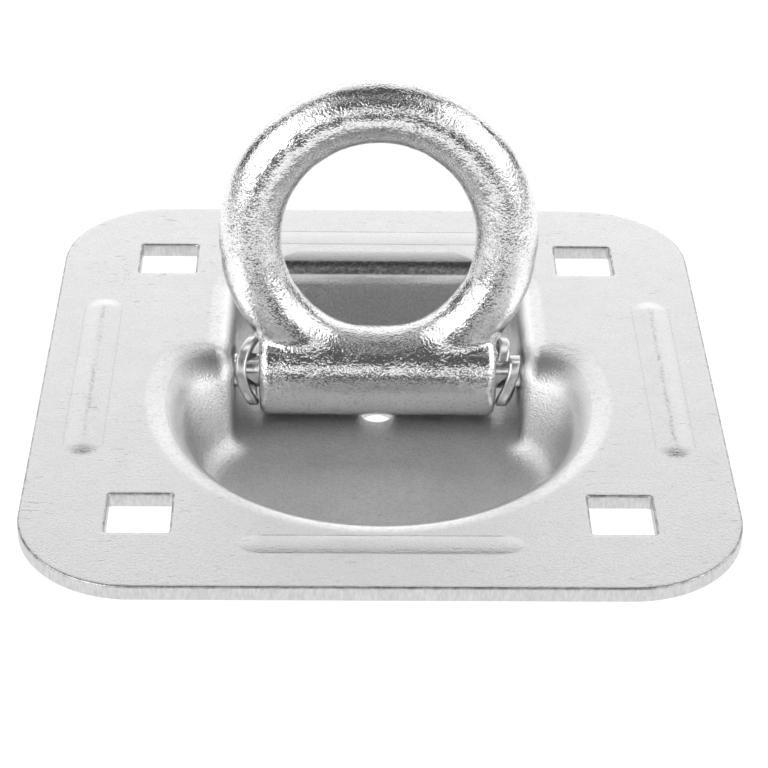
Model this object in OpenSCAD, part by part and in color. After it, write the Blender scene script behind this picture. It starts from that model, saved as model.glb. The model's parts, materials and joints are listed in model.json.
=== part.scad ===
// Recessed tie-down anchor: a pressed steel pan with a forged swivel ring.
// Origin: centre of the flange's underside, the face that lies on the deck.
// +X runs along the hinge pin, +Y to the straight edge of the dish, +Z up.

/* [Flange] */
// Width of the flange, along the pin
flange_w = 151; // [149:0.5:156]
// Length of the flange, across the pin
flange_l = 155; // [154:0.5:160]
// Radius of the flange's corners
corner_r = 25; // [18:1:28]
// Thickness of the pressed sheet
sheet = 3.4; // [3:0.1:3.6]
// Side of each square hole for a carriage bolt
bolt_sq = 13.5; // [12:0.5:14]
// Spacing of the square holes along the pin
bolt_dx = 100.8; // [98:0.2:103]
// Spacing of the square holes across the pin
bolt_dy = 104.8; // [102:0.2:108]

/* [Dish] */
// Depth from the top of the flange to the floor of the dish
dish_depth = 20.5; // [20.2:0.1:22]
// Radius of the rolled edge, on the dish's side
rim_r = 4; // [3.8:0.1:4.4]
// Radius between the wall and the floor
floor_r = 5; // [4:0.5:6]
// Distance of the straight back edge from the centre
back_y = 52.5; // [51:0.5:54]
// Half width of the channel behind the pin, at the flange
channel_x = 37.2; // [37:0.1:37.6]
// Radius of the channel's two back corners
channel_r = 14; // [12:0.5:16]
// Distance of the front edge from the centre
front_y = 57; // [56.5:0.5:59]
// Diameter of the drain hole
drain_d = 7.5; // [6:0.5:10]

/* [Ribs] */
// Width of the two side ribs
side_rib_w = 8.6; // [7:0.1:9]
// Width of the front rib and the back one
end_rib_w = 6; // [5:0.1:6.4]
// Height of a rib above the flange
rib_h = 0.5; // [0.4:0.1:1]

/* [Ring] */
// Diameter of the ring's round section
wire_d = 14.6; // [13:0.1:14.6]
// Clear diameter of the ring's eye
eye_d = 44.4; // [40:0.2:44.4]
// Distance from the pin's axis to the centre of the eye
eye_reach = 32.6; // [31:0.1:33]
// Diameter of the barrel that turns on the pin
barrel_d = 21; // [18:0.1:21]
// Length of the barrel
barrel_l = 54.7; // [53:0.1:55]
// Thickness of the webs between the ring and the barrel's ends
web_t = 9; // [6:0.5:11]
// Angle that the ring leans back from upright
lean = 13; // [0:1:30]

/* [Pin and washers] */
// Diameter of the hinge pin
pin_d = 7.94; // [7.8:0.01:8]
// Distance of the pin's axis behind the centre
pin_y = 17.5; // [17:0.1:18]
// Depth of the pin's axis below the top of the flange
pin_drop = 9.6; // [9.4:0.1:9.8]
// Diameter of the pin's peened ends
peen_d = 9.4; // [8.8:0.1:9.8]
// Outer diameter of a spring washer
washer_d = 16.4; // [14:0.1:16.8]
// Width of the washer's wire, along the pin
washer_w = 2.6; // [2:0.1:2.8]
// Thickness of the washer's wire, away from the pin
washer_t = 1.7; // [1.2:0.1:1.8]
// How far the washer's wave stands to each side
washer_wave = 1.4; // [0.8:0.1:1.5]

/* [Hidden] */

steel = "gainsboro";
forged = "silver";
bright = "whitesmoke";

top_z = sheet;
pin_z = top_z - pin_drop;
wall_x = channel_x - rim_r;
bore_clear = 0.06;
bore_d = pin_d + 2 * bore_clear;
peen_gap = 0.1;
peen_t = 0.4;
overcut = 1;

drain_y = 16.2;
rib_x = 64.3;
rib_y = 63;
side_rib = [-27, 29];
end_rib = [-25, 25];

// The rim's outline is a round dish in front and a channel behind, with an ear between them on
// each side. Each pair holds a value at the flange and one at the floor.
ear_x = channel_x + 0.6;
ear_y = [15.5, 6];
ear_r = 0.6;
horn_r = [4.8, 26];
round_y = [-6, -13.5];

bend_steps = 5;
wall_steps = 3;
corner_steps = 6;
side_steps = 3;
nose_steps = 7;
horn_steps = 8;
round_steps = 15;
washer_steps = 48;

// Facets of bores and round corners, of the ring's wire, of the ring, and of the ribs' crests.
bore_fn = 96;
wire_fn = 72;
ring_fn = 144;
crest_fn = 180;

// How far a web's foot stands in from the barrel's end and below its skin, and how far its top
// stands out from the wire's middle and below the eye's centre.
web_foot = [1, 2];
web_top = [1, 12];

// Angle between the two ends of a spring washer, and the angle from the front, over the top, at
// which each one is split.
washer_gap = 4;
left_split = 213;
right_split = 48;

function heading(a) = [cos(a), sin(a)];
function right_of(a) = [sin(a), -cos(a)];
function mix(pair, k) = pair[0] + (pair[1] - pair[0]) * k;
function unit(v) = v / norm(v);
function direction(v) = atan2(v[1], v[0]);

// Right half of the dish's outline at a depth (0 at the flange, 1 at the floor), drawn in by inset,
// from the back corner round the ear and the horn to the middle of the front edge.
function half_outline(inset, depth) =
    let (
        x = channel_x - inset,
        corner = [channel_x - channel_r, back_y - channel_r],
        corner_in = channel_r - inset,
        nose = [ear_x, mix(ear_y, depth)],
        nose_in = ear_r + inset,
        horn_in = mix(horn_r, depth) - inset,
        middle = [0, mix(round_y, depth)],
        round_in = middle[1] + front_y - inset,
        // The horn's arc touches the ear's arc from outside and the round dish's arc from inside.
        reach = norm(nose - middle),
        out = (nose - middle) / reach,
        far = nose_in + horn_in,
        near = round_in - horn_in,
        along = (near * near - far * far + reach * reach) / (2 * reach),
        horn = middle + along * out + sqrt(near * near - along * along) * [out[1], -out[0]],
        flank = direction(horn - nose) + 90,
        horn_a = direction(horn - middle)
    )
    concat(
        [for (i = [0:corner_steps - 1]) corner + corner_in * heading(90 - 90 * i / corner_steps)],
        [for (i = [0:side_steps - 1]) [x, mix([corner[1], nose[1]], i / side_steps)]],
        [for (i = [0:nose_steps]) nose + nose_in * right_of(mix([-90, flank], i / nose_steps))],
        [for (i = [0:horn_steps - 1]) horn - horn_in * right_of(mix([flank, horn_a - 90], i / horn_steps))],
        [for (i = [0:round_steps]) middle + round_in * heading(mix([horn_a, -90], i / round_steps))]
    );

// The whole outline: the right half, then its mirror image back to the start.
function outline(inset, depth) =
    let (half = half_outline(inset, depth), last = len(half) - 1)
    concat(half, [for (i = [last - 1:-1:0]) [-half[i][0], half[i][1]]]);

// Levels of the dish's upper surface, as inset and drop: rolled rim, wall, floor radius.
levels = concat(
    [for (i = [0:bend_steps]) let (a = 90 * i / bend_steps)
        [rim_r * sin(a), rim_r * (1 - cos(a))]],
    [for (i = [1:wall_steps - 1]) [rim_r, mix([rim_r, dish_depth - floor_r], i / wall_steps)]],
    [for (i = [0:bend_steps]) let (a = 90 * i / bend_steps)
        [rim_r + floor_r * (1 - cos(a)), dish_depth - floor_r * (1 - sin(a))]]
);

loops = [for (level = levels) [for (p = outline(level[0], level[1] / dish_depth))
    [p[0], p[1], top_z - level[1]]]];
loop_n = len(loops[0]);
level_n = len(loops);

// Upward normal of the upper surface at a point of a level, from its neighbours.
function normal(j, i) =
    j == 0 || j == level_n - 1 ? [0, 0, 1] :
    unit(cross(
        loops[j + 1][i] - loops[j - 1][i],
        loops[j][(i + 1) % loop_n] - loops[j][(i + loop_n - 1) % loop_n]
    ));

// Two triangles of a strip between rows a and b, at places i and n, seen clockwise from outside.
function quad(a, b, i, n) = [[a + i, a + n, b + i], [a + n, b + n, b + i]];
function flipped(faces) = [for (f = faces) [f[0], f[2], f[1]]];

module rounded_plate(w, l, r, h) {
    linear_extrude(h)
        union() {
            square([w - 2 * r, l], center = true);
            square([w, l - 2 * r], center = true);
            for (sx = [-1, 1], sy = [-1, 1])
                translate([sx * (w / 2 - r), sy * (l / 2 - r)]) circle(r, $fn = bore_fn);
        }
}

// The pressed sheet from the start of the rolled rim inwards, the same thickness all over.
module dish_shell() {
    under = level_n * loop_n;
    half_n = (loop_n - 1) / 2;
    points = concat(
        [for (j = [0:level_n - 1], i = [0:loop_n - 1]) loops[j][i]],
        [for (j = [0:level_n - 1], i = [0:loop_n - 1]) loops[j][i] - sheet * normal(j, i)]
    );
    upper = [for (j = [0:level_n - 2], i = [0:loop_n - 1])
        each quad(j * loop_n, (j + 1) * loop_n, i, (i + 1) % loop_n)];
    last = (level_n - 1) * loop_n;
    floor_top = [for (i = [0:half_n - 1]) let (a = loop_n - 1 - i)
        each concat([[last + i, last + i + 1, last + a]],
            i < half_n - 1 ? [[last + i + 1, last + a - 1, last + a]] : [])];
    top = concat(upper, floor_top);
    edge = [for (i = [0:loop_n - 1]) each quad(under, 0, i, (i + 1) % loop_n)];
    bottom = [for (f = flipped(top)) [f[0] + under, f[1] + under, f[2] + under]];
    polyhedron(points, concat(top, edge, bottom), convexity = 6);
}

// Solid of a rib's crest along Y between two ends: a long flat arch, w wide, with rounded ends.
module rib(ends, w) {
    r = (w * w / 4 + rib_h * rib_h) / (2 * rib_h);
    translate([0, 0, top_z + rib_h - r]) {
        translate([0, ends[0], 0]) rotate([-90, 0, 0])
            cylinder(ends[1] - ends[0], r = r, $fn = crest_fn);
        for (y = ends) translate([0, y, 0]) sphere(r, $fn = crest_fn);
    }
}

module ribs() {
    for (s = [-1, 1]) {
        translate([s * rib_x, 0, 0]) rib(side_rib, side_rib_w);
        translate([0, s * rib_y, 0]) rotate([0, 0, 90]) rib(end_rib, end_rib_w);
    }
}

module pan() {
    color(steel)
    difference() {
        union() {
            difference() {
                rounded_plate(flange_w, flange_l, corner_r, sheet);
                translate([0, 0, -overcut]) linear_extrude(sheet + 2 * overcut) polygon(outline(0, 0));
            }
            dish_shell();
            intersection() {
                ribs();
                translate([-flange_w / 2, -flange_l / 2, top_z / 2]) cube([flange_w, flange_l, top_z]);
            }
        }
        intersection() {
            translate([0, 0, -sheet]) ribs();
            translate([-flange_w / 2, -flange_l / 2, -overcut])
                cube([flange_w, flange_l, overcut + rib_h]);
        }
        for (sx = [-1, 1], sy = [-1, 1])
            translate([sx * bolt_dx / 2, sy * bolt_dy / 2, sheet / 2])
                cube([bolt_sq, bolt_sq, sheet + 2 * overcut], center = true);
        for (s = [-1, 1])
            translate([s * (wall_x + sheet / 2), pin_y, pin_z]) rotate([0, 90, 0])
                cylinder(sheet + 2 * overcut, d = bore_d, center = true, $fn = bore_fn);
        translate([0, drain_y, top_z - dish_depth - sheet - overcut])
            cylinder(sheet + 2 * overcut, d = drain_d, $fn = bore_fn);
    }
}

// The forged ring in its own place: barrel along X, eye above it, both in the upright plane.
module upright_ring() {
    ring_r = (eye_d + wire_d) / 2;
    barrel_r = barrel_d / 2;
    foot = [barrel_l / 2 - web_foot[0], barrel_r - web_foot[1]];
    shoulder = [ring_r + web_top[0], eye_reach - web_top[1]];
    difference() {
        union() {
            translate([0, 0, eye_reach]) rotate([90, 0, 0])
                rotate_extrude($fn = ring_fn) translate([ring_r, 0]) circle(d = wire_d, $fn = wire_fn);
            rotate([0, 90, 0]) cylinder(barrel_l, r = barrel_r, center = true, $fn = bore_fn);
            rotate([90, 0, 0]) linear_extrude(web_t, center = true)
                difference() {
                    polygon([
                        [-foot[0], 0], [-foot[0], foot[1]], [-shoulder[0], shoulder[1]],
                        [shoulder[0], shoulder[1]], [foot[0], foot[1]], [foot[0], 0]
                    ]);
                    translate([0, eye_reach]) circle(ring_r, $fn = ring_fn);
                }
        }
        rotate([0, 90, 0])
            cylinder(barrel_l + 2 * overcut, d = bore_d, center = true, $fn = bore_fn);
    }
}

module ring() {
    color(forged)
    translate([0, pin_y, pin_z]) rotate([-lean, 0, 0]) upright_ring();
}

module pivot_pin() {
    reach = wall_x + sheet + peen_gap;
    color(bright)
    translate([0, pin_y, pin_z]) rotate([0, 90, 0]) {
        cylinder(2 * reach + peen_t, d = pin_d, center = true, $fn = bore_fn);
        for (s = [0, 1]) mirror([0, 0, s]) translate([0, 0, reach])
            cylinder(peen_t, d1 = peen_d, d2 = pin_d, $fn = bore_fn);
    }
}

// A split spring washer about X, waved so that its split and the side opposite bear on the ear at
// +X and the places between them on the barrel. Angles run from the split, over the top when it is
// in front; the end at angle 0 is sprung across to the barrel.
module spring_washer(split) {
    half_w = washer_w / 2;
    r_out = washer_d / 2;
    r_in = r_out - washer_t;
    function sprung(a) = a < 180 ? pow(1 - a / 180, 2) : 0;
    function wave(a) = cos(2 * a) - sprung(a) * (1 + cos(2 * a));
    rings = [for (i = [0:washer_steps])
        let (
            a = mix([washer_gap / 2, 360 - washer_gap / 2], i / washer_steps),
            out = heading(180 - a - split)
        )
        [for (c = [[-half_w, r_out], [half_w, r_out], [half_w, r_in], [-half_w, r_in]])
            [washer_wave * wave(a) + c[0], out[0] * c[1], out[1] * c[1]]]];
    sides = [for (i = [0:washer_steps - 1], c = [0:3]) each quad(4 * i, 4 * (i + 1), c, (c + 1) % 4)];
    end = 4 * washer_steps;
    caps = [[0, 2, 1], [0, 3, 2], [end, end + 1, end + 2], [end, end + 2, end + 3]];
    polyhedron([for (r = rings) each r], concat(sides, caps), convexity = 4);
}

washer_x = (barrel_l / 2 + wall_x) / 2;

module right_spring_washer() {
    color(bright) translate([washer_x, pin_y, pin_z]) spring_washer(right_split);
}

module left_spring_washer() {
    color(bright) translate([-washer_x, pin_y, pin_z]) mirror([1, 0, 0]) spring_washer(left_split);
}

pan();
ring();
pivot_pin();
left_spring_washer();
right_spring_washer();
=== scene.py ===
"""Looks for the recessed tie-down anchor: a pressed steel pan, a forged swivel ring, its pin and two
split spring washers, on a plain pale floor."""
import json
import math
from functools import reduce

import bmesh
import bpy
import numpy as np
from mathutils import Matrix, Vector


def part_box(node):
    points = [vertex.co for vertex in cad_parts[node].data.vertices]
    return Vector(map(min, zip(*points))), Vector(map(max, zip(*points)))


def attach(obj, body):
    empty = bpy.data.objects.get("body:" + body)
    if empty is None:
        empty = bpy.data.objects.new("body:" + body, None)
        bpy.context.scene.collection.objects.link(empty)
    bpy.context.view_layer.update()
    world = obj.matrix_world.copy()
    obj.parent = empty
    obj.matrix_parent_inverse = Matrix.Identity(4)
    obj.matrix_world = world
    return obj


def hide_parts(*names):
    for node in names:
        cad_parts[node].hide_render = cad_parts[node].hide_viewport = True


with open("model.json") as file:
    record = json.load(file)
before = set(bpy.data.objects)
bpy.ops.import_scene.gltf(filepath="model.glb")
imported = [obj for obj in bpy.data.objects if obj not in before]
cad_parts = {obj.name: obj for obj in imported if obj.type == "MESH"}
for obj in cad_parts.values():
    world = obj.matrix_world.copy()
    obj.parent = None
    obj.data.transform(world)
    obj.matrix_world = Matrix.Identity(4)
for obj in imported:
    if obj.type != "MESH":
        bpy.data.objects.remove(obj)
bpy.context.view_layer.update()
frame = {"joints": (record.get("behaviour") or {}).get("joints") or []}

import openvdb
from mathutils import Matrix, Vector
from mathutils.geometry import delaunay_2d_cdt

# Lengths are in millimetres, in the CAD's frame, until MM turns them into metres. The stage's own
# lengths, at the end, are in metres. Angles are in degrees.
MM = 0.001


def millimetres(corners):
    return [np.array(corner) / MM for corner in corners]


# ---- Sizes read from the frame -------------------------------------------------------------------
pan_low, pan_high = millimetres(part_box("pan"))
pin_low, pin_high = millimetres(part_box("pivot_pin"))
hinge = np.array(frame["joints"][0]["pos_m"]) / MM

SHEET = 3.4
FLANGE_W = pan_high[0] - pan_low[0]
FLANGE_L = pan_high[1] - pan_low[1]
RIB_H = pan_high[2] - SHEET
DISH_DEPTH = -pan_low[2]
PIN_Y, PIN_Z = hinge[1], hinge[2]

# ---- Pan ------------------------------------------------------------------------------------------
CORNER_R = 25.0
BOLT_SQ = 13.5
BOLT_X, BOLT_Y = 50.4, 52.4
BOLT_CORNER_R = 0.7
RIM_R = 4.0
FLOOR_R = 5.0
BACK_Y = 52.5
CHANNEL_X = 37.2
CHANNEL_R = 14.0
FRONT_Y = 57.0
DRAIN_D = 7.5
DRAIN_Y = 16.2
SIDE_RIB_W, END_RIB_W = 8.6, 6.0
RIB_X, RIB_Y = 64.3, 63.0
SIDE_RIB = (-27.0, 29.0)
END_RIB = (-25.0, 25.0)
RIB_TIP = 4.6
PIN_D = 7.94

# The dish's outline: each pair holds a value at the flange and one at the floor. Between the two, the
# value follows the depth to the power FLARE, so the flanks beside the ears spread soon below the rim.
EAR_X = CHANNEL_X + 0.6
EAR_Y = (15.5, 2.0)
EAR_R = 0.6
HORN_R = (6.5, 26.0)
ROUND_Y = (-6.0, -13.5)
FLARE = 0.5

# The flange sags a little just before it rolls over the rim.
LEAD = 3.0
LEAD_SAG = 0.25

# Radii of the cut edges, above and below, of the sheet and of the drain hole.
SHEET_EDGE = (0.45, 0.3)
DRAIN_EDGE = (0.5, 0.3)

# Crests of the left, right, front and back ribs: their share of RIB_H, and the power that sharpens
# their arch.
RIB_CREST = ((0.9, 2), (0.9, 2), (0.4, 1), (0.15, 1))

# Steps along half of the outline, down the dish's wall, and around a rib.
CORNER_STEPS, SIDE_STEPS, EAR_STEPS, HORN_STEPS, ROUND_STEPS = 16, 14, 20, 18, 55
RIM_STEPS, WALL_STEPS, FLOOR_STEPS = 14, 10, 12
RIB_SIDE_STEPS, RIB_TIP_STEPS = 22, 14

# How far from the rim, and at which parts of a rib's half width, the flange gets extra corners.
NEAR_RIM = (0.3, 0.6, 1.0, 1.5, 2.0, 2.5, 3.0, 3.4)
ACROSS_RIB = (0.12, 0.26, 0.4, 0.54, 0.67, 0.79, 0.9, 1.1)

BOLT_PLACES = [(sx * BOLT_X, sy * BOLT_Y) for sx in (-1, 1) for sy in (-1, 1)]


def mix(pair, k):
    return pair[0] + (pair[1] - pair[0]) * k


def shares(steps):
    """Shares of a whole, from 0 up to the last one before 1."""
    return np.arange(steps) / steps


def heading(degrees):
    a = math.radians(degrees)
    return np.array([math.cos(a), math.sin(a)])


def right_of(degrees):
    a = math.radians(degrees)
    return np.array([math.sin(a), -math.cos(a)])


def direction(v):
    return math.degrees(math.atan2(v[1], v[0]))


def half_outline(inset, depth):
    """Right half of the dish's outline at a depth (0 at the flange, 1 at the floor), drawn in by
    inset, from the back corner round the ear and the horn to the middle of the front edge."""
    spread = depth ** FLARE
    x = CHANNEL_X - inset
    corner = np.array([CHANNEL_X - CHANNEL_R, BACK_Y - CHANNEL_R])
    nose = np.array([EAR_X, mix(EAR_Y, spread)])
    nose_in = EAR_R + inset
    horn_in = mix(HORN_R, spread) - inset
    middle = np.array([0, mix(ROUND_Y, spread)])
    round_in = middle[1] + FRONT_Y - inset
    # The horn's arc touches the ear's arc from outside and the round dish's arc from inside.
    reach = np.linalg.norm(nose - middle)
    out = (nose - middle) / reach
    far, near = nose_in + horn_in, round_in - horn_in
    along = (near ** 2 - far ** 2 + reach ** 2) / (2 * reach)
    horn = middle + along * out + math.sqrt(near ** 2 - along ** 2) * np.array([out[1], -out[0]])
    flank = direction(horn - nose) + 90
    horn_a = direction(horn - middle)
    points = [corner + (CHANNEL_R - inset) * heading(90 - 90 * k) for k in shares(CORNER_STEPS)]
    points += [np.array([x, mix((corner[1], nose[1]), k)]) for k in shares(SIDE_STEPS)]
    points += [nose + nose_in * right_of(mix((-90, flank), k)) for k in np.linspace(0, 1, EAR_STEPS + 1)]
    points += [horn - horn_in * right_of(mix((flank, horn_a - 90), k)) for k in shares(HORN_STEPS)]
    points += [middle + round_in * heading(mix((horn_a, -90), k)) for k in np.linspace(0, 1, ROUND_STEPS + 1)]
    return np.array(points)


def outline(inset, depth):
    half = half_outline(inset, depth)
    return np.vstack([half, half[-2::-1] * [-1, 1]])


def dish_levels():
    """Levels of the dish's upper surface, as inset and drop: rolled rim, wall, floor radius."""
    start = math.atan2(2 * LEAD_SAG, LEAD)
    bend_r = RIM_R / (1 - math.sin(start))
    levels = [(bend_r * (math.sin(a) - math.sin(start)),
               LEAD_SAG + bend_r * (math.cos(start) - math.cos(a)))
              for a in np.linspace(start, math.pi / 2, RIM_STEPS + 1)]
    wall = (levels[-1][1], DISH_DEPTH - FLOOR_R)
    levels += [(RIM_R, mix(wall, k)) for k in shares(WALL_STEPS)[1:]]
    levels += [(RIM_R + FLOOR_R * (1 - math.cos(a)), DISH_DEPTH - FLOOR_R * (1 - math.sin(a)))
               for a in np.linspace(0, math.pi / 2, FLOOR_STEPS + 1)]
    return levels


def dish_surfaces():
    """Grids of points of the dish's upper surface and of its underside, one sheet below it."""
    upper = np.array([
        np.column_stack([outline(inset, drop / DISH_DEPTH),
                         np.full(len(outline(0, 0)), SHEET - drop)])
        for inset, drop in dish_levels()
    ])
    down = np.gradient(upper, axis=0)
    round_ = np.roll(upper, -1, axis=1) - np.roll(upper, 1, axis=1)
    normal = np.cross(down, round_)
    normal /= np.linalg.norm(normal, axis=2, keepdims=True)
    normal[-1] = (0, 0, 1)
    return upper, upper - SHEET * normal


def rounded_rect(centre, w, l, r, corner_steps, side_steps):
    """Anticlockwise outline of a rectangle with round corners."""
    points = []
    for k, (sx, sy) in enumerate([(1, 1), (-1, 1), (-1, -1), (1, -1)]):
        middle = np.array([sx * (w / 2 - r), sy * (l / 2 - r)])
        arc = [middle + r * heading(90 * k + 90 * t) for t in np.linspace(0, 1, corner_steps + 1)]
        step = (w - 2 * r if k % 2 == 0 else l - 2 * r) * heading(90 * (k + 1) + 90)
        points += arc + [arc[-1] + step * t for t in shares(side_steps)[1:]]
    return np.array(points) + centre


def circle(centre, r, steps):
    return np.array([centre + r * heading(360 * k / steps) for k in range(steps)])


def inside(points, polygon):
    """Which points lie inside a closed polygon."""
    hit = np.zeros(len(points), bool)
    x, y = points[:, 0], points[:, 1]
    for (x0, y0), (x1, y1) in zip(polygon, np.roll(polygon, -1, axis=0)):
        if y0 != y1:
            crosses = (y0 > y) != (y1 > y)
            hit ^= crosses & (x < (x1 - x0) * (y - y0) / (y1 - y0) + x0)
    return hit


def distance_to_path(points, path):
    """Distance from each point to a closed path of straight lines."""
    best = np.full(len(points), np.inf)
    for a, b in zip(path, np.roll(path, -1, axis=0)):
        ab = b - a
        t = np.clip((points - a) @ ab / max(ab @ ab, 1e-12), 0, 1)
        best = np.minimum(best, np.linalg.norm(points - a - t[:, None] * ab, axis=1))
    return best


def filled(boundary, holes, creases, free):
    """Triangles between a boundary and its holes, with edges along the creases and corners at the
    free points. Returns the corners and the triangles, anticlockwise."""
    loops = [boundary, *holes, *creases]
    points = np.vstack([*loops, *free])
    edges, start = [], 0
    for loop in loops:
        n = len(loop)
        edges += [(start + i, start + (i + 1) % n) for i in range(n)]
        start += n
    found = delaunay_2d_cdt([Vector(p) for p in points], edges, [], 0, 1e-6)
    corners = np.array(found[0])
    faces = np.array(found[2])
    middles = corners[faces].mean(axis=1)
    keep = inside(middles, boundary)
    for hole in holes:
        keep &= ~inside(middles, hole)
    return corners, faces[keep]


class Shell:
    """Collects patches of a closed mesh; corners that meet are merged at the end."""

    def __init__(self):
        self.points, self.faces, self.slots, self.count = [], [], [], 0

    def add(self, points, faces, slot=0):
        self.faces += [tuple(self.count + i for i in face) for face in faces]
        self.slots += [slot] * len(faces)
        self.points.append(np.asarray(points, float))
        self.count += len(points)

    def strip(self, rows, slot=0):
        """Quads between closed rows of points; going along a row with the next row on the right,
        they face the viewer."""
        rows = np.asarray(rows, float)
        m, n = rows.shape[:2]
        faces = [(j * n + i, (j + 1) * n + i, (j + 1) * n + (i + 1) % n, j * n + (i + 1) % n)
                 for j in range(m - 1) for i in range(n)]
        self.add(rows.reshape(-1, 3), faces, slot)

    def mesh(self, name, merge=1e-3):
        mesh = bpy.data.meshes.new(name)
        mesh.from_pydata((np.vstack(self.points) * MM).tolist(), [], self.faces)
        mesh.polygons.foreach_set("material_index", self.slots)
        work = bmesh.new()
        work.from_mesh(mesh)
        bmesh.ops.remove_doubles(work, verts=work.verts, dist=merge * MM)
        bmesh.ops.dissolve_degenerate(work, edges=work.edges, dist=1e-4 * MM)
        bmesh.ops.recalc_face_normals(work, faces=work.faces)
        work.to_mesh(mesh)
        work.free()
        return mesh


def show(mesh, materials, sharp):
    """An object for a mesh, shaded smooth but for edges sharper than an angle."""
    for material in materials:
        mesh.materials.append(material)
    mesh.polygons.foreach_set("use_smooth", [True] * len(mesh.polygons))
    mesh.set_sharp_from_angle(angle=math.radians(sharp))
    piece = bpy.data.objects.new(mesh.name, mesh)
    bpy.context.scene.collection.objects.link(piece)
    return piece


def flat(loop, z):
    """A loop's points with a third coordinate: one height for all, or a height for each."""
    return np.column_stack([loop, np.full(len(loop), z) if np.isscalar(z) else z])


def rib_axis(side):
    """Ends of a rib's axis: 0 and 1 are the side ribs, 2 and 3 the front and back ones."""
    s = 1 if side % 2 else -1
    if side < 2:
        return np.array([[s * RIB_X, SIDE_RIB[0]], [s * RIB_X, SIDE_RIB[1]]])
    return np.array([[END_RIB[0], s * RIB_Y], [END_RIB[1], s * RIB_Y]])


def rib_loop(side, part):
    """Outline at a part of a rib's half width, with points at the same spots for every part."""
    a, b = rib_axis(side)
    along = (b - a) / np.linalg.norm(b - a)
    across = np.array([-along[1], along[0]])
    half = (SIDE_RIB_W if side < 2 else END_RIB_W) / 2

    def tip(end, way):
        turn = np.linspace(-90, 90, RIB_TIP_STEPS + 1)
        return [end + part * way * (RIB_TIP * heading(t)[0] * along + half * heading(t)[1] * across)
                for t in turn]

    arc_b, arc_a = tip(b, 1), tip(a, -1)
    back = [mix((arc_b[-1], arc_a[0]), k) for k in shares(RIB_SIDE_STEPS)[1:]]
    front = [mix((arc_a[-1], arc_b[0]), k) for k in shares(RIB_SIDE_STEPS)[1:]]
    return np.array(arc_b + back + arc_a + front)


def rib_height(points):
    """Height of the ribs' crests over the flange: an arch that runs out at both tips."""
    height = np.zeros(len(points))
    for side, (share, sharpness) in enumerate(RIB_CREST):
        a, b = rib_axis(side)
        along = (b - a) / np.linalg.norm(b - a)
        half = (SIDE_RIB_W if side < 2 else END_RIB_W) / 2
        place = (points - (a + b) / 2) @ along
        past = np.maximum(np.abs(place) - np.linalg.norm(b - a) / 2, 0) / RIB_TIP
        aside = (points - a) @ np.array([-along[1], along[0]]) / half
        arch = np.maximum(1 - past ** 2 - aside ** 2, 0)
        height = np.maximum(height, share * arch ** sharpness * RIB_H)
    return height


def edge_profile(radius):
    """Upper half of a cut edge, from the flat face out to the middle: outset and drop."""
    steps = 4
    turn = [math.pi / 2 * k / steps for k in range(steps + 1)]
    return [(radius * (math.sin(a) - 1), radius * (1 - math.cos(a))) for a in turn]


def edge_rows(top, bottom, radii):
    """A cut edge from the top face to the bottom one, rounded at both: outset and height."""
    rows = [(o, top - d) for o, d in edge_profile(radii[0])]
    return rows + [(o, bottom + d) for o, d in reversed(edge_profile(radii[1]))]


def flange_outline(outset):
    return rounded_rect((0, 0), FLANGE_W + 2 * outset, FLANGE_L + 2 * outset, CORNER_R + outset, 36, 24)


def bolt_hole(place, outset):
    """A square hole's outline; an outset takes metal into the hole."""
    side = BOLT_SQ - 2 * outset
    return rounded_rect(place, side, side, BOLT_CORNER_R - outset, 6, 10)


def near_rim(rim, out):
    """Rows of points outside the rim, but none where two rows run into each other."""
    points = np.vstack([rim + reach * out for reach in NEAR_RIM])
    reach = np.repeat(NEAR_RIM, len(rim))
    away = distance_to_path(points, rim)
    return points[(away > 0.93 * reach) & ~inside(points, rim)]


def add_flange_face(shell, path, out, edge, face_up):
    """A face of the flange between its cut edges, whose first or last row is edge, and the dish's
    rim, which is path. The rim's outward directions are out."""
    rim = path[:, :2]
    outset, z = edge
    holes = [rim] + [bolt_hole(place, outset) for place in BOLT_PLACES]
    creases = [rib_loop(side, 1) for side in range(4)]
    # Free corners: across the ribs, where the sag is, and close to every cut edge.
    free = [rib_loop(side, part) for side in range(4) for part in ACROSS_RIB]
    free += [near_rim(rim, out), flange_outline(outset - 0.6)]
    free += [rounded_rect(place, BOLT_SQ + 2.2, BOLT_SQ + 2.2, 1.4, 4, 8) for place in BOLT_PLACES]
    corners, faces = filled(flange_outline(outset), holes, creases, free)
    away = distance_to_path(corners, rim)
    sag = LEAD_SAG * np.clip(1 - away / LEAD, 0, 1) ** 2
    height = z + rib_height(corners) - sag
    # The rim's own points keep their height, which below the sheet isn't quite the sag's.
    on_rim = away < 1e-3
    nearest = np.argmin(((corners[on_rim, None] - rim[None]) ** 2).sum(axis=2), axis=1)
    height[on_rim] = path[nearest, 2]
    shell.add(flat(corners, height), faces if face_up else faces[:, ::-1])


def add_floor(shell, upper, under):
    """The dish's floor inside the lowest rows of its two surfaces, with the drain hole's edge."""
    drain = np.array([0, DRAIN_Y])
    rows = edge_rows(upper[0, 2], under[0, 2], DRAIN_EDGE)
    shell.strip([flat(circle(drain, DRAIN_D / 2 - o, 64), z)[::-1] for o, z in rows], slot=1)
    # Free corners round the hole and inside the floor's edge keep long thin triangles away.
    free = [circle(drain, DRAIN_D / 2 + 1.2, 48), outline(RIM_R + FLOOR_R + 1.5, 1)]
    for path, (outset, z), face_up in ((upper, rows[0], True), (under, rows[-1], False)):
        hole = circle(drain, DRAIN_D / 2 - outset, 64)
        corners, faces = filled(path[::-1, :2], [hole], [], free)
        shell.add(flat(corners, z), faces if face_up else faces[:, ::-1])


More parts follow.
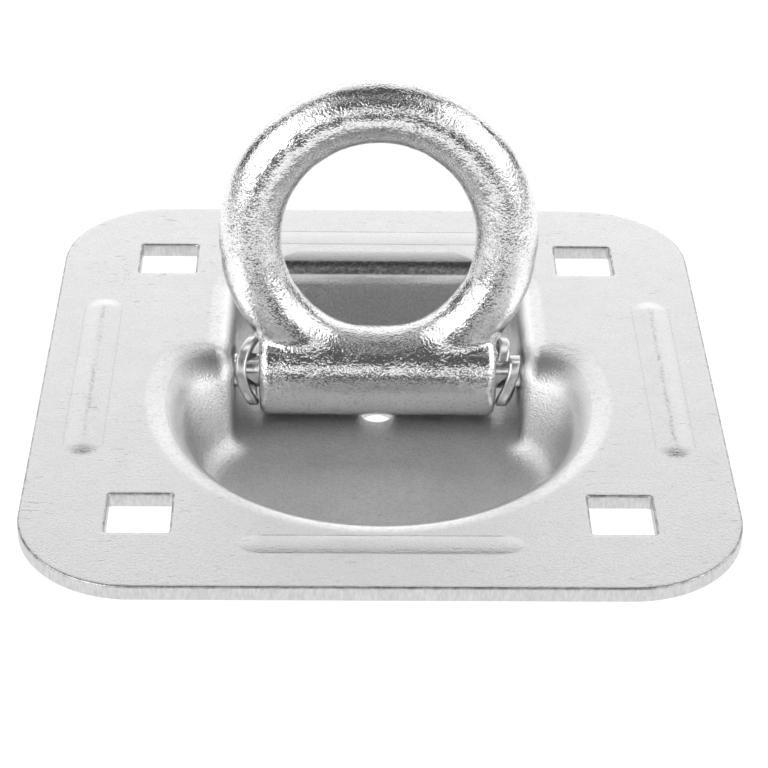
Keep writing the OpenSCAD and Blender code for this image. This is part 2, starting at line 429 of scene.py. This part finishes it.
def build_pan():
    upper, under = dish_surfaces()
    rows = edge_rows(SHEET, 0, SHEET_EDGE)
    rim = upper[0, :, :2]
    out = np.roll(rim, -1, axis=0) - np.roll(rim, 1, axis=0)
    out = np.column_stack([-out[:, 1], out[:, 0]]) / np.linalg.norm(out, axis=1)[:, None]
    shell = Shell()
    shell.strip(upper)
    shell.strip(under[:, ::-1])
    shell.strip([flat(flange_outline(o), z) for o, z in rows], slot=1)
    for place in BOLT_PLACES:
        shell.strip([flat(bolt_hole(place, o), z)[::-1] for o, z in rows], slot=1)
    add_flange_face(shell, upper[0], out, rows[0], True)
    add_flange_face(shell, under[0], out, rows[-1], False)
    add_floor(shell, upper[-1], under[-1])
    return shell.mesh("pressed_pan")


def bored(piece, centre, radius, length):
    """Cuts a round hole along X through a piece."""
    bpy.ops.mesh.primitive_cylinder_add(
        vertices=64, radius=radius * MM, depth=length * MM,
        location=[c * MM for c in centre], rotation=(0, math.pi / 2, 0))
    cutter = bpy.context.object
    cut = piece.modifiers.new("bore", "BOOLEAN")
    cut.operation, cut.solver, cut.object = "DIFFERENCE", "EXACT", cutter
    graph = bpy.context.evaluated_depsgraph_get()
    mesh = bpy.data.meshes.new_from_object(piece.evaluated_get(graph))
    piece.modifiers.remove(cut)
    mesh.name = piece.data.name
    piece.data = mesh
    bpy.data.objects.remove(cutter)


# ---- Ring -----------------------------------------------------------------------------------------
WIRE_D = 14.6
EYE_D = 44.4
EYE_REACH = 32.6
BARREL_D = 21.0
BARREL_L = 54.7
BARREL_END_R = 2.1
SPOT_FACE_D = 18.4
BORE_D = 8.06
BORE_EDGE_R = 0.5
LEAN = 13.0

# The webs: their thickness and edge radius, and the fillets where they meet the eye and the barrel.
WEB_T = 9.2
WEB_R = 3.2
EYE_FILLET, BARREL_FILLET = 3.0, 1.8

# The size of the skin's quads, and the skin's unevenness: height, size across and random seed.
QUAD = 0.5
HAMMERED = ((0.10, 6.0, 1), (0.05, 2.5, 2), (0.025, 1.2, 3))


def smooth_min(a, b, k):
    h = np.maximum(k - np.abs(a - b), 0) / k
    return np.minimum(a, b) - h * h * k / 4


def web_distance(x, y, z, from_eye):
    """Signed distance, about, to the webs: a slab between the barrel and the eye, whose flanks run
    from the barrel's ends to the eye's outside, and none of it inside the eye."""
    ring_r = (EYE_D + WIRE_D) / 2
    foot = np.array([BARREL_L / 2 - 1.6, BARREL_D / 2 - 3.0])
    top = np.array([ring_r + 1.5, EYE_REACH - 12.0])
    lean = (top - foot) / np.linalg.norm(top - foot)
    flank = (np.abs(x) - foot[0]) * lean[1] - (z - foot[1]) * lean[0]
    sides = [np.abs(y) - (WEB_T / 2 - WEB_R), flank + WEB_R, z - top[1] + WEB_R, -z - 2]
    slab = np.maximum.reduce(sides)
    outer = np.sqrt(sum(np.maximum(s, 0) ** 2 for s in sides))
    slab = np.where(slab > 0, outer, slab) - WEB_R
    return np.maximum(slab, ring_r - 1.0 - from_eye)


def ring_distance(p):
    """Signed distance, about, to the upright ring's skin: barrel along X, eye above it."""
    x, y, z = p[..., 0], p[..., 1], p[..., 2]
    from_axis = np.hypot(y, z)
    from_eye = np.hypot(x, z - EYE_REACH)
    eye = np.hypot(from_eye - (EYE_D + WIRE_D) / 2, y) - WIRE_D / 2
    d0 = from_axis - (BARREL_D / 2 - BARREL_END_R)
    d1 = np.abs(x) - (BARREL_L / 2 - BARREL_END_R)
    corner = np.hypot(np.maximum(d0, 0), np.maximum(d1, 0))
    barrel = np.minimum(np.maximum(d0, d1), 0) + corner - BARREL_END_R
    body = smooth_min(eye, web_distance(x, y, z, from_eye), EYE_FILLET)
    body = smooth_min(body, barrel, BARREL_FILLET)
    # The barrel's ends are faced off, so that the webs' fillets stay clear of the washers.
    body = np.maximum(body, np.minimum(SPOT_FACE_D / 2 - from_axis, np.abs(x) - BARREL_L / 2))
    bore = BORE_D / 2 - from_axis
    edge = BORE_EDGE_R
    return np.where(
        (body > -edge) & (bore > -edge),
        np.hypot(np.maximum(body + edge, 0), np.maximum(bore + edge, 0)) - edge,
        np.maximum(body, bore))


def ring_slope(points):
    """How the ring's distance changes along X, Y and Z at each point."""
    step = 0.05
    return np.stack([
        ring_distance(points + step * axis) - ring_distance(points - step * axis) for axis in np.eye(3)
    ], axis=-1) / (2 * step)


def ring_skin():
    """The upright ring's skin: points moved onto it, the skin's directions there, and quads."""
    # A box with a little room all round it.
    low = np.array([-38.5, -11.0, -11.0])
    high = np.array([38.5, 11.0, EYE_REACH + (EYE_D / 2 + WIRE_D) + 1.5])
    counts = np.ceil((high - low) / QUAD).astype(int) + 1
    axes = [low[k] + QUAD * np.arange(counts[k]) for k in range(3)]
    field = ring_distance(np.stack(np.meshgrid(*axes, indexing="ij"), axis=-1))
    volume = openvdb.FloatGrid(10.0)
    volume.copyFromArray(field.astype(np.float32))
    points, quads = volume.convertToQuads(0.0)
    points = points * QUAD + low
    for _ in range(3):
        slope = ring_slope(points)
        size = np.maximum((slope ** 2).sum(axis=1, keepdims=True), 0.3)
        points = points - ring_distance(points)[:, None] * slope / size
    slope = ring_slope(points)
    normal = slope / np.maximum(np.linalg.norm(slope, axis=1, keepdims=True), 1e-6)
    return points, normal, quads


def lattice_noise(points, size, seed):
    """Smooth random values, from -1 to 1, that change over about size millimetres."""
    n = 32
    values = np.random.RandomState(seed).uniform(-1, 1, (n, n, n))
    q = points / size + 1000.0
    base = np.floor(q).astype(int)
    t = q - base
    t = t * t * (3 - 2 * t)
    total = np.zeros(len(points))
    for corner in np.ndindex(2, 2, 2):
        weight = np.prod(np.where(np.array(corner) == 1, t, 1 - t), axis=1)
        i, j, k = ((base + corner) % n).T
        total += weight * values[i, j, k]
    return total


def hammered(points, normal):
    """The forging's unevenness, none of it on the machined bore and end faces. It goes inwards on
    the whole, so the ring stays inside its box."""
    skin = np.clip((np.hypot(points[:, 1], points[:, 2]) - BORE_D / 2 - 1.5) / 1.5, 0, 1)
    skin *= np.clip((0.98 - np.abs(normal[:, 0])) / 0.3, 0, 1) + (points[:, 2] > BARREL_D / 2)
    rough = sum(height * lattice_noise(points, size, seed) for height, size, seed in HAMMERED)
    return points + normal * (np.clip(skin, 0, 1) * (rough - 0.12))[:, None]


def build_ring():
    points, normal, quads = ring_skin()
    points = hammered(points, normal)
    a = math.radians(-LEAN)
    y = points[:, 1] * math.cos(a) - points[:, 2] * math.sin(a)
    z = points[:, 1] * math.sin(a) + points[:, 2] * math.cos(a)
    shell = Shell()
    shell.add(np.column_stack([points[:, 0], y + PIN_Y, z + PIN_Z]), [tuple(q) for q in quads])
    return shell.mesh("forged_ring", merge=1e-5)


# ---- Pin and washers ------------------------------------------------------------------------------
WASHER_D = 16.4
WASHER_W = 2.6
WASHER_T = 1.7
WASHER_R = 0.6
WASHER_CROWN = 0.10
WASHER_WAVE = 1.4
WASHER_GAP = 4.0
WASHER_STEPS = 144
PIN_STEPS = 72

# Where the right (1) and the left (-1) washer is split: degrees from the front, over the top.
SPLIT_AT = {1: 48, -1: 213}


def build_pin():
    """The pin's profile turned about its axis: a plain shank with a riveted head on each end."""
    end = pin_high[0]
    ear = CHANNEL_X - RIM_R + SHEET
    head_r = (pin_high[2] - pin_low[2]) / 2
    shank_r = PIN_D / 2
    # Half of the profile, from the middle outwards: place along the axis and radius.
    half = [(0, shank_r), (ear - 0.2, shank_r), (ear + 0.05, shank_r + 0.1), (ear + 0.1, head_r - 0.1)]
    half += [(ear + 0.18, head_r), (ear + 0.3, head_r - 0.15), (end - 0.12, shank_r + 0.1)]
    half += [(end - 0.03, shank_r - 0.5), (end, shank_r - 1.2), (end - 0.25, shank_r - 2.0)]
    half += [(end - 0.3, 0.02)]
    profile = [(-x, r) for x, r in reversed(half)] + half[1:]
    turn = np.linspace(0, 2 * math.pi, PIN_STEPS + 1)[:-1]
    rows = [np.column_stack([np.full(PIN_STEPS, x), PIN_Y + r * np.cos(turn), PIN_Z + r * np.sin(turn)])
            for x, r in profile]
    shell = Shell()
    shell.strip(rows)
    shell.add(rows[0], [tuple(range(PIN_STEPS))])
    shell.add(rows[-1], [tuple(reversed(range(PIN_STEPS)))])
    return shell.mesh("hinge_pin")


def build_washer(name, side):
    """A split spring washer; side is 1 for the right one, split in front, and -1 for the left one,
    split behind."""
    centre_x = (BARREL_L / 2 + CHANNEL_X - RIM_R) / 2
    # Section across the wire: along the pin, and out from the middle of its thickness.
    section = rounded_rect((0, 0), WASHER_W, WASHER_T, WASHER_R, 5, 4)
    section[:, 1] *= 1 - WASHER_CROWN * (section[:, 0] / (WASHER_W / 2)) ** 2
    middle_r = WASHER_D / 2 - WASHER_T / 2
    rows = []
    for a in np.linspace(WASHER_GAP / 2, 360 - WASHER_GAP / 2, WASHER_STEPS + 1):
        sprung = (1 - a / 180) ** 2 if a < 180 else 0
        wave = math.cos(math.radians(2 * a))
        shift = WASHER_WAVE * (wave - sprung * (1 + wave))
        out = heading(180 - a - SPLIT_AT[side])
        rows.append([[side * (centre_x + shift + u), PIN_Y + out[0] * (middle_r + v),
                      PIN_Z + out[1] * (middle_r + v)] for u, v in section])
    shell = Shell()
    shell.strip(rows)
    shell.add(rows[0], [tuple(range(len(section)))])
    shell.add(rows[-1], [tuple(reversed(range(len(section))))])
    return shell.mesh(name)


# ---- Materials ------------------------------------------------------------------------------------
class Graph:
    """A material's node tree, with short ways to add and link its nodes."""

    def __init__(self, name):
        self.material = bpy.data.materials.new(name)
        self.material.use_nodes = True
        self.nodes = self.material.node_tree.nodes
        self.links = self.material.node_tree.links
        self.surface = self.nodes["Principled BSDF"]
        self.place = self.nodes.new("ShaderNodeTexCoord").outputs["Object"]

    def node(self, kind, inputs=(), **settings):
        made = self.nodes.new("ShaderNode" + kind)
        for key, value in settings.items():
            setattr(made, key, value)
        for key, value in dict(inputs).items():
            self.put(made.inputs[key], value)
        return made

    def put(self, socket, value):
        if isinstance(value, bpy.types.NodeSocket):
            self.links.new(value, socket)
        else:
            socket.default_value = value

    def axes(self):
        """The place in the piece as X, Y and Z, in metres."""
        return self.node("SeparateXYZ", {"Vector": self.place}).outputs

    def stretched(self, scale, turn=0.0):
        """The place in the piece, turned about Z and scaled by a factor along each axis."""
        made = self.node("Mapping", {
            "Vector": self.place, "Scale": scale, "Rotation": (0, 0, math.radians(turn))})
        return made.outputs["Vector"]

    def noise(self, size, detail=2.0, rough=0.5, where=None, distort=0.0):
        """Noise whose blobs are about size millimetres across."""
        made = self.node("TexNoise", {
            "Vector": where or self.place, "Scale": 1 / (size * MM), "Detail": detail,
            "Roughness": rough, "Distortion": distort})
        return made.outputs["Fac"]

    def cells(self, size):
        """Distance from the nearest of scattered points, about size millimetres apart."""
        made = self.node("TexVoronoi", {"Vector": self.place, "Scale": 1 / (size * MM)})
        return made.outputs["Distance"]

    def remap(self, value, low, high, to_low=0.0, to_high=1.0):
        made = self.node("MapRange", {
            "Value": value, "From Min": low, "From Max": high, "To Min": to_low, "To Max": to_high})
        return made.outputs["Result"]

    def maths(self, operation, a, b=0):
        return self.node("Math", {0: a, 1: b}, operation=operation).outputs["Value"]

    def times(self, *values):
        return reduce(lambda a, b: self.maths("MULTIPLY", a, b), values)

    def most(self, *values):
        return reduce(lambda a, b: self.maths("MAXIMUM", a, b), values)

    def line(self, value, at, half_width):
        """1 where a length is at some millimetres, fading to 0 at a half width from there."""
        away = self.maths("ABSOLUTE", self.maths("SUBTRACT", value, at * MM))
        return self.remap(away, 0, half_width * MM, 1, 0)

    def span(self, value, low, high, fade):
        """1 where a length lies between two in millimetres, fading to 0 outside them."""
        rise = self.remap(value, (low - fade) * MM, low * MM)
        fall = self.remap(value, high * MM, (high + fade) * MM, 1, 0)
        return self.times(rise, fall)

    def mixed(self, factor, a, b):
        made = self.node("Mix", {"Factor": factor}, data_type="RGBA")
        colours = [s for s in made.inputs if s.type == "RGBA"]
        for socket, value in zip(colours, (a, b)):
            self.put(socket, value)
        return [s for s in made.outputs if s.type == "RGBA"][0]

    def bump(self, height, depth, over=None):
        """Relief whose full height is depth millimetres."""
        inputs = {"Height": height, "Distance": depth * MM}
        if over is not None:
            inputs["Normal"] = over
        return self.node("Bump", inputs).outputs["Normal"]

    def finish(self, **sockets):
        for key, value in sockets.items():
            self.put(self.surface.inputs[key.replace("_", " ")], value)
        return self.material


def grey(value):
    return (value, value, value, 1)


def scuffs_and_specks(g):
    """Masks of short scuffs in three directions and of small specks, both in patches."""
    scuffs = [g.remap(g.noise(0.7, 1.0, 0.5, g.stretched((0.22, 1, 1), turn), 0.6), 0.70, 0.78)
              for turn in (6, 75, -38)]
    scuff = g.times(g.most(*scuffs), g.remap(g.noise(14.0, 2.0), 0.42, 0.62))
    specks = g.times(g.remap(g.cells(2.9), 0.0, 0.09, 1.0, 0.0), g.remap(g.noise(5.0), 0.5, 0.62))
    return scuff, specks


def rib_marks(g, broken, patchy):
    """Masks of the side ribs' worn crests and darker front tips, and of painted shade in thin dark lines
    beside all four ribs. The left and right halves, and the front and back ones, are alike."""
    place = g.axes()
    x = g.maths("ABSOLUTE", place["X"])
    y = g.maths("ABSOLUTE", place["Y"])
    on_side = g.span(place["Y"], *SIDE_RIB, 2.0)
    on_end = g.span(place["X"], END_RIB[0] + 1, END_RIB[1] - 1, 2.0)
    wander = g.maths("ADD", x, g.remap(g.noise(5.0, 1.0), 0, 1, -0.6 * MM, 0.6 * MM))
    crest = g.times(
        g.line(wander, RIB_X, 0.75), on_side,
        g.remap(broken, 0.40, 0.60), g.remap(patchy, 0.36, 0.56, 0.25, 1.0))
    tip = g.times(
        g.line(x, RIB_X, 2.6), g.line(place["Y"], SIDE_RIB[0] - 3.4, 1.3),
        g.remap(g.noise(0.6, 3.0, 0.7), 0.44, 0.52))
    # Painted shade: thin dark lines along the borders of the side ribs and of the front and back ribs.
    beside = SIDE_RIB_W / 2
    painted_side_rib_shade = g.times(
        g.most(g.line(x, RIB_X - beside, 0.3), g.line(x, RIB_X + beside, 0.3)), on_side, 0.13)
    beside = END_RIB_W / 2
    painted_end_rib_shade = g.times(
        g.most(g.line(y, RIB_Y - beside, 0.38), g.line(y, RIB_Y + beside, 0.34)), on_end,
        g.remap(patchy, 0.3, 0.6, 0.25, 0.55))
    return g.most(crest, g.times(tip, 1.5)), g.most(painted_side_rib_shade, painted_end_rib_shade)


def dish_tones(g, tone, drawn, broken):
    """The tones below the flange: darker and peppered where the sheet is drawn, the darkening partly its
    duller finish and partly painted shade in the recess; painted light on the flanks and in the channel; a
    painted highlight round the rolled rim and painted shade on the back bend."""
    place = g.axes()
    # Painted light: the drawn dish is lighter beside the ears and towards the back.
    beside = g.remap(g.maths("ABSOLUTE", place["X"]), 36 * MM, 44 * MM, 0.0, 0.5)
    behind = g.remap(place["Y"], 22 * MM, 30 * MM, 0.0, 0.7)
    peppered = g.remap(g.noise(0.6, 2.0, 0.6), 0.42, 0.62)
    # Painted highlight: a bright band just below the flange, round the rolled rim.
    rolled = g.span(place["Z"], SHEET - 0.9, SHEET - 0.08, 0.07)
    # Painted shade: a dark band on the rim's bend at the back.
    bend = g.times(g.span(place["Z"], SHEET - 2.2, SHEET - 0.35, 0.3), g.span(place["Y"], 47, 56, 1.0))
    for mask, shade in (
        # Darker where drawn: partly the duller drawn finish, partly painted shade in the recess.
        (g.times(drawn, 0.25), 0.5),
        # Painted light on the flanks and in the channel.
        (g.times(drawn, g.most(beside, behind)), 0.95),
        (g.times(peppered, drawn, 0.25), 0.35),
        # Painted highlight round the rolled rim.
        (g.times(rolled, g.remap(broken, 0.35, 0.55, 0.1, 0.8)), 0.93),
        # Painted shade on the back bend.
        (g.times(bend, g.remap(broken, 0.3, 0.55, 0.6, 1.0)), 0.2),
    ):
        tone = g.mixed(mask, tone, grey(shade))
    return tone


def zinc_sheet():
    """Satin zinc plating on rolled sheet: finely mottled, with scuffs, specks and marks along the ribs,
    painted shade in thin lines beside the ribs, and other tones in the dish, some of them painted light and
    shade."""
    g = Graph("zinc_sheet")
    clouds = g.noise(6.0, 4.0, 0.6)
    grain = g.noise(0.5, 1.5, 0.5)
    broken = g.noise(0.9, 3.0, 0.7)
    patchy = g.noise(7.0, 2.0, 0.6)
    scuff, specks = scuffs_and_specks(g)
    # The second mask is painted shade along the ribs' borders.
    worn, painted_rib_shade = rib_marks(g, broken, patchy)
    # 0 on the flange, 1 below the rolled rim.
    drawn = g.remap(g.axes()["Z"], (SHEET - 0.8) * MM, (SHEET - 5.5) * MM)

    tone = g.mixed(g.remap(clouds, 0.3, 0.7), grey(0.76), grey(0.82))
    tone = g.mixed(g.times(g.remap(grain, 0.48, 0.72), 0.42), tone, grey(0.62))
    # The last mask is painted shade along the rib borders; the others are marks on the plating.
    for mask, strength, shade in (
        (scuff, 0.55, 0.40), (specks, 0.85, 0.2), (worn, 0.62, 0.30), (painted_rib_shade, 1.0, 0.10),
    ):
        tone = g.mixed(g.times(mask, strength), tone, grey(shade))
    tone = dish_tones(g, tone, drawn, broken)
    roughness = g.remap(g.maths("ADD", clouds, g.times(grain, 0.6)), 0.4, 1.2, 0.27, 0.36)
    roughness = g.maths("ADD", roughness, g.times(drawn, 0.10))
    relief = g.bump(g.noise(1.1, 2.0, 0.5), 0.02)
    relief = g.bump(g.times(g.noise(0.45, 1.0, 0.5), drawn), 0.14, relief)
    relief = g.bump(grain, 0.06, relief)
    relief = g.bump(g.maths("ADD", scuff, specks), -0.03, relief)
    return g.finish(Base_Color=tone, Roughness=roughness, Metallic=1.0, Normal=relief)


def cut_edge():
    """Sheared steel, plated over: light, with faint streaks across the sheet's thickness and a broken
    dark line along the top edge, partly scuffing and partly painted shade on its rounded corner."""
    g = Graph("cut_edge")
    tears = g.noise(0.6, 3.0, 0.6, g.stretched((1, 1, 0.3)))
    burr = g.noise(1.3, 3.0, 0.65)
    clouds = g.noise(4.0, 2.0, 0.5)
    # A broken dark line along the top edge: partly scuffing, partly painted shade where the rounded edge
    # turns away.
    scuffed_and_shaded_top_edge = g.remap(g.axes()["Z"], (SHEET - 0.45) * MM, (SHEET - 0.15) * MM, 0.0, 0.5)
    scuffed_and_shaded_top_edge = g.times(scuffed_and_shaded_top_edge, g.remap(g.noise(3.0, 4.0, 0.75), 0.44, 0.60))
    tone = g.mixed(g.remap(tears, 0.35, 0.65), grey(0.58), grey(0.68))
    tone = g.mixed(g.times(g.remap(clouds, 0.6, 0.75), 0.3), tone, grey(0.5))
    tone = g.mixed(scuffed_and_shaded_top_edge, tone, grey(0.10))
    roughness = g.remap(tears, 0.3, 0.7, 0.44, 0.30)
    relief = g.bump(tears, 0.03, g.bump(burr, 0.16))
    return g.finish(Base_Color=tone, Roughness=roughness, Metallic=1.0, Normal=relief)


def forged_zinc():
    """Zinc over a coarse forged skin: sharp little facets that catch bright and dark."""
    g = Graph("forged_zinc")
    coarse = g.noise(1.5, 3.0, 0.6)
    grain = g.noise(0.6, 1.5, 0.5)
    fine = g.noise(0.3, 1.0, 0.5)
    patchy = g.remap(g.noise(5.0, 2.0, 0.55), 0.38, 0.62, 0.5, 1.0)
    tone = g.mixed(g.times(g.remap(grain, 0.46, 0.30), patchy), grey(0.88), grey(0.52))
    roughness = g.remap(coarse, 0.3, 0.7, 0.09, 0.16)
    relief = g.bump(coarse, 0.12)
    relief = g.bump(g.times(grain, patchy), 0.16, relief)
    relief = g.bump(fine, 0.015, relief)
    return g.finish(Base_Color=tone, Roughness=roughness, Metallic=1.0, Normal=relief)


def bright_steel(name, roughness, along):
    """Smooth drawn wire or turned bar, with fine lines along one direction."""
    g = Graph(name)
    lines = g.noise(0.25, 2.0, 0.6, g.stretched(along))
    clouds = g.noise(3.0, 2.0, 0.5)
    tone = g.mixed(g.remap(clouds, 0.3, 0.7), grey(0.74), grey(0.86))
    rough = g.remap(lines, 0.3, 0.7, roughness, roughness + 0.1)
    return g.finish(Base_Color=tone, Roughness=rough, Metallic=1.0, Normal=g.bump(lines, 0.008))


def floor_white():
    """A matt floor that gives off its own white light, so it is even all over."""
    g = Graph("floor_white")
    tone = g.mixed(g.noise(400.0, 1.0), grey(0.10), grey(0.12))
    return g.finish(Base_Color=tone, Roughness=0.9, Emission_Color=grey(1.0), Emission_Strength=0.97)


# ---- The pieces -----------------------------------------------------------------------------------
def make_pieces():
    pan = show(build_pan(), [zinc_sheet(), cut_edge()], 35)
    wall = CHANNEL_X - RIM_R + SHEET / 2
    for s in (-1, 1):
        bored(pan, (s * wall, PIN_Y, PIN_Z), BORE_D / 2, SHEET + 3)
    ring = show(build_ring(), [forged_zinc()], 60)
    pin = show(build_pin(), [bright_steel("pin_steel", 0.16, (0.1, 1, 1))], 35)
    wire = bright_steel("spring_wire", 0.26, (1, 0.12, 0.12))
    left = show(build_washer("left_split_washer", -1), [wire], 75)
    right = show(build_washer("right_split_washer", 1), [wire], 75)
    for piece, body, node, slot in (
        (pan, "pan", "pan", "pan_steel"),
        (ring, "ring", "ring", "forged_steel"),
        (pin, "pan", "pivot_pin", "pin_steel"),
        (left, "pan", "left_spring_washer", "spring_steel"),
        (right, "pan", "right_spring_washer", "spring_steel"),
    ):
        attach(piece, body)
        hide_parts(node)


# ---- Stage ----------------------------------------------------------------------------------------
# Soft boxes: name, place, size and power in watts. All of them face the same point.
SOFT_BOXES = (
    ("back_box", (0.0, 1.3, 0.72), (2.6, 1.25), 9.1),
    ("low_back_box", (0.0, 1.5, 0.32), (2.8, 0.6), 3.0),
    ("left_box", (-1.12, -0.43, 0.80), (1.8, 1.15), 9.2),
    ("right_box", (1.2, -0.15, 0.80), (1.6, 1.15), 8.2),
    ("top_strip", (0.0, -0.22, 1.45), (1.5, 0.10), 0.4),
    ("left_top_box", (-0.76, 0.08, 1.05), (0.6, 0.7), 1.0),
    ("right_top_box", (0.76, 0.08, 1.05), (0.6, 0.7), 1.0),
    ("left_front_box", (-0.95, -1.0, 0.75), (0.9, 1.0), 3.0),
    ("right_front_box", (0.95, -1.0, 0.75), (0.9, 1.0), 2.5),
    ("front_box", (0.0, -1.5, 0.95), (1.6, 0.5), 2.5),
)
LIT_POINT = (0, 0, 0.01)
ROOM_LIGHT = 0.10

# The camera: its place, how far it looks to the right of +Y, downwards, and tilted, and its lens and
# sensor in millimetres.
CAMERA_PLACE = (-0.0084, -0.4738, 0.3108)
CAMERA_TURNS = (1.17, 33.13, 0.96)
LENS, SENSOR = 117.2, 36


def make_floor():
    bpy.ops.mesh.primitive_plane_add(size=12, location=(0, 0, pan_low[2] * MM))
    floor = bpy.context.object
    floor.name = "floor"
    floor.data.materials.append(floor_white())


def make_lights():
    world = bpy.data.worlds.new("studio")
    world.use_nodes = True
    world.node_tree.nodes["Background"].inputs["Color"].default_value = grey(ROOM_LIGHT)
    bpy.context.scene.world = world
    for name, place, size, power in SOFT_BOXES:
        light = bpy.data.lights.new(name, "AREA")
        light.shape, light.size, light.size_y, light.energy = "RECTANGLE", *size, power
        lamp = bpy.data.objects.new(name, light)
        bpy.context.scene.collection.objects.link(lamp)
        lamp.location = place
        lamp.rotation_euler = (Vector(LIT_POINT) - Vector(place)).to_track_quat("-Z", "Y").to_euler()


def make_camera():
    """The camera stands in front of the part and above it, looking down at the dish."""
    yaw, pitch, roll = (math.radians(a) for a in CAMERA_TURNS)
    forward = Vector((math.sin(yaw) * math.cos(pitch), math.cos(yaw) * math.cos(pitch), -math.sin(pitch)))
    level = Vector((math.cos(yaw), -math.sin(yaw), 0))
    upright = level.cross(forward)
    right = math.cos(roll) * level + math.sin(roll) * upright
    up = math.cos(roll) * upright - math.sin(roll) * level
    lens = bpy.data.cameras.new("camera")
    lens.lens, lens.sensor_width, lens.clip_start = LENS, SENSOR, 0.01
    camera = bpy.data.objects.new("camera", lens)
    bpy.context.scene.collection.objects.link(camera)
    place = Matrix([right, up, -forward]).transposed().to_4x4()
    place.translation = CAMERA_PLACE
    camera.matrix_world = place
    bpy.context.scene.camera = camera


make_camera()
make_floor()
make_lights()
make_pieces()
bpy.context.scene.view_settings.view_transform = "Standard"
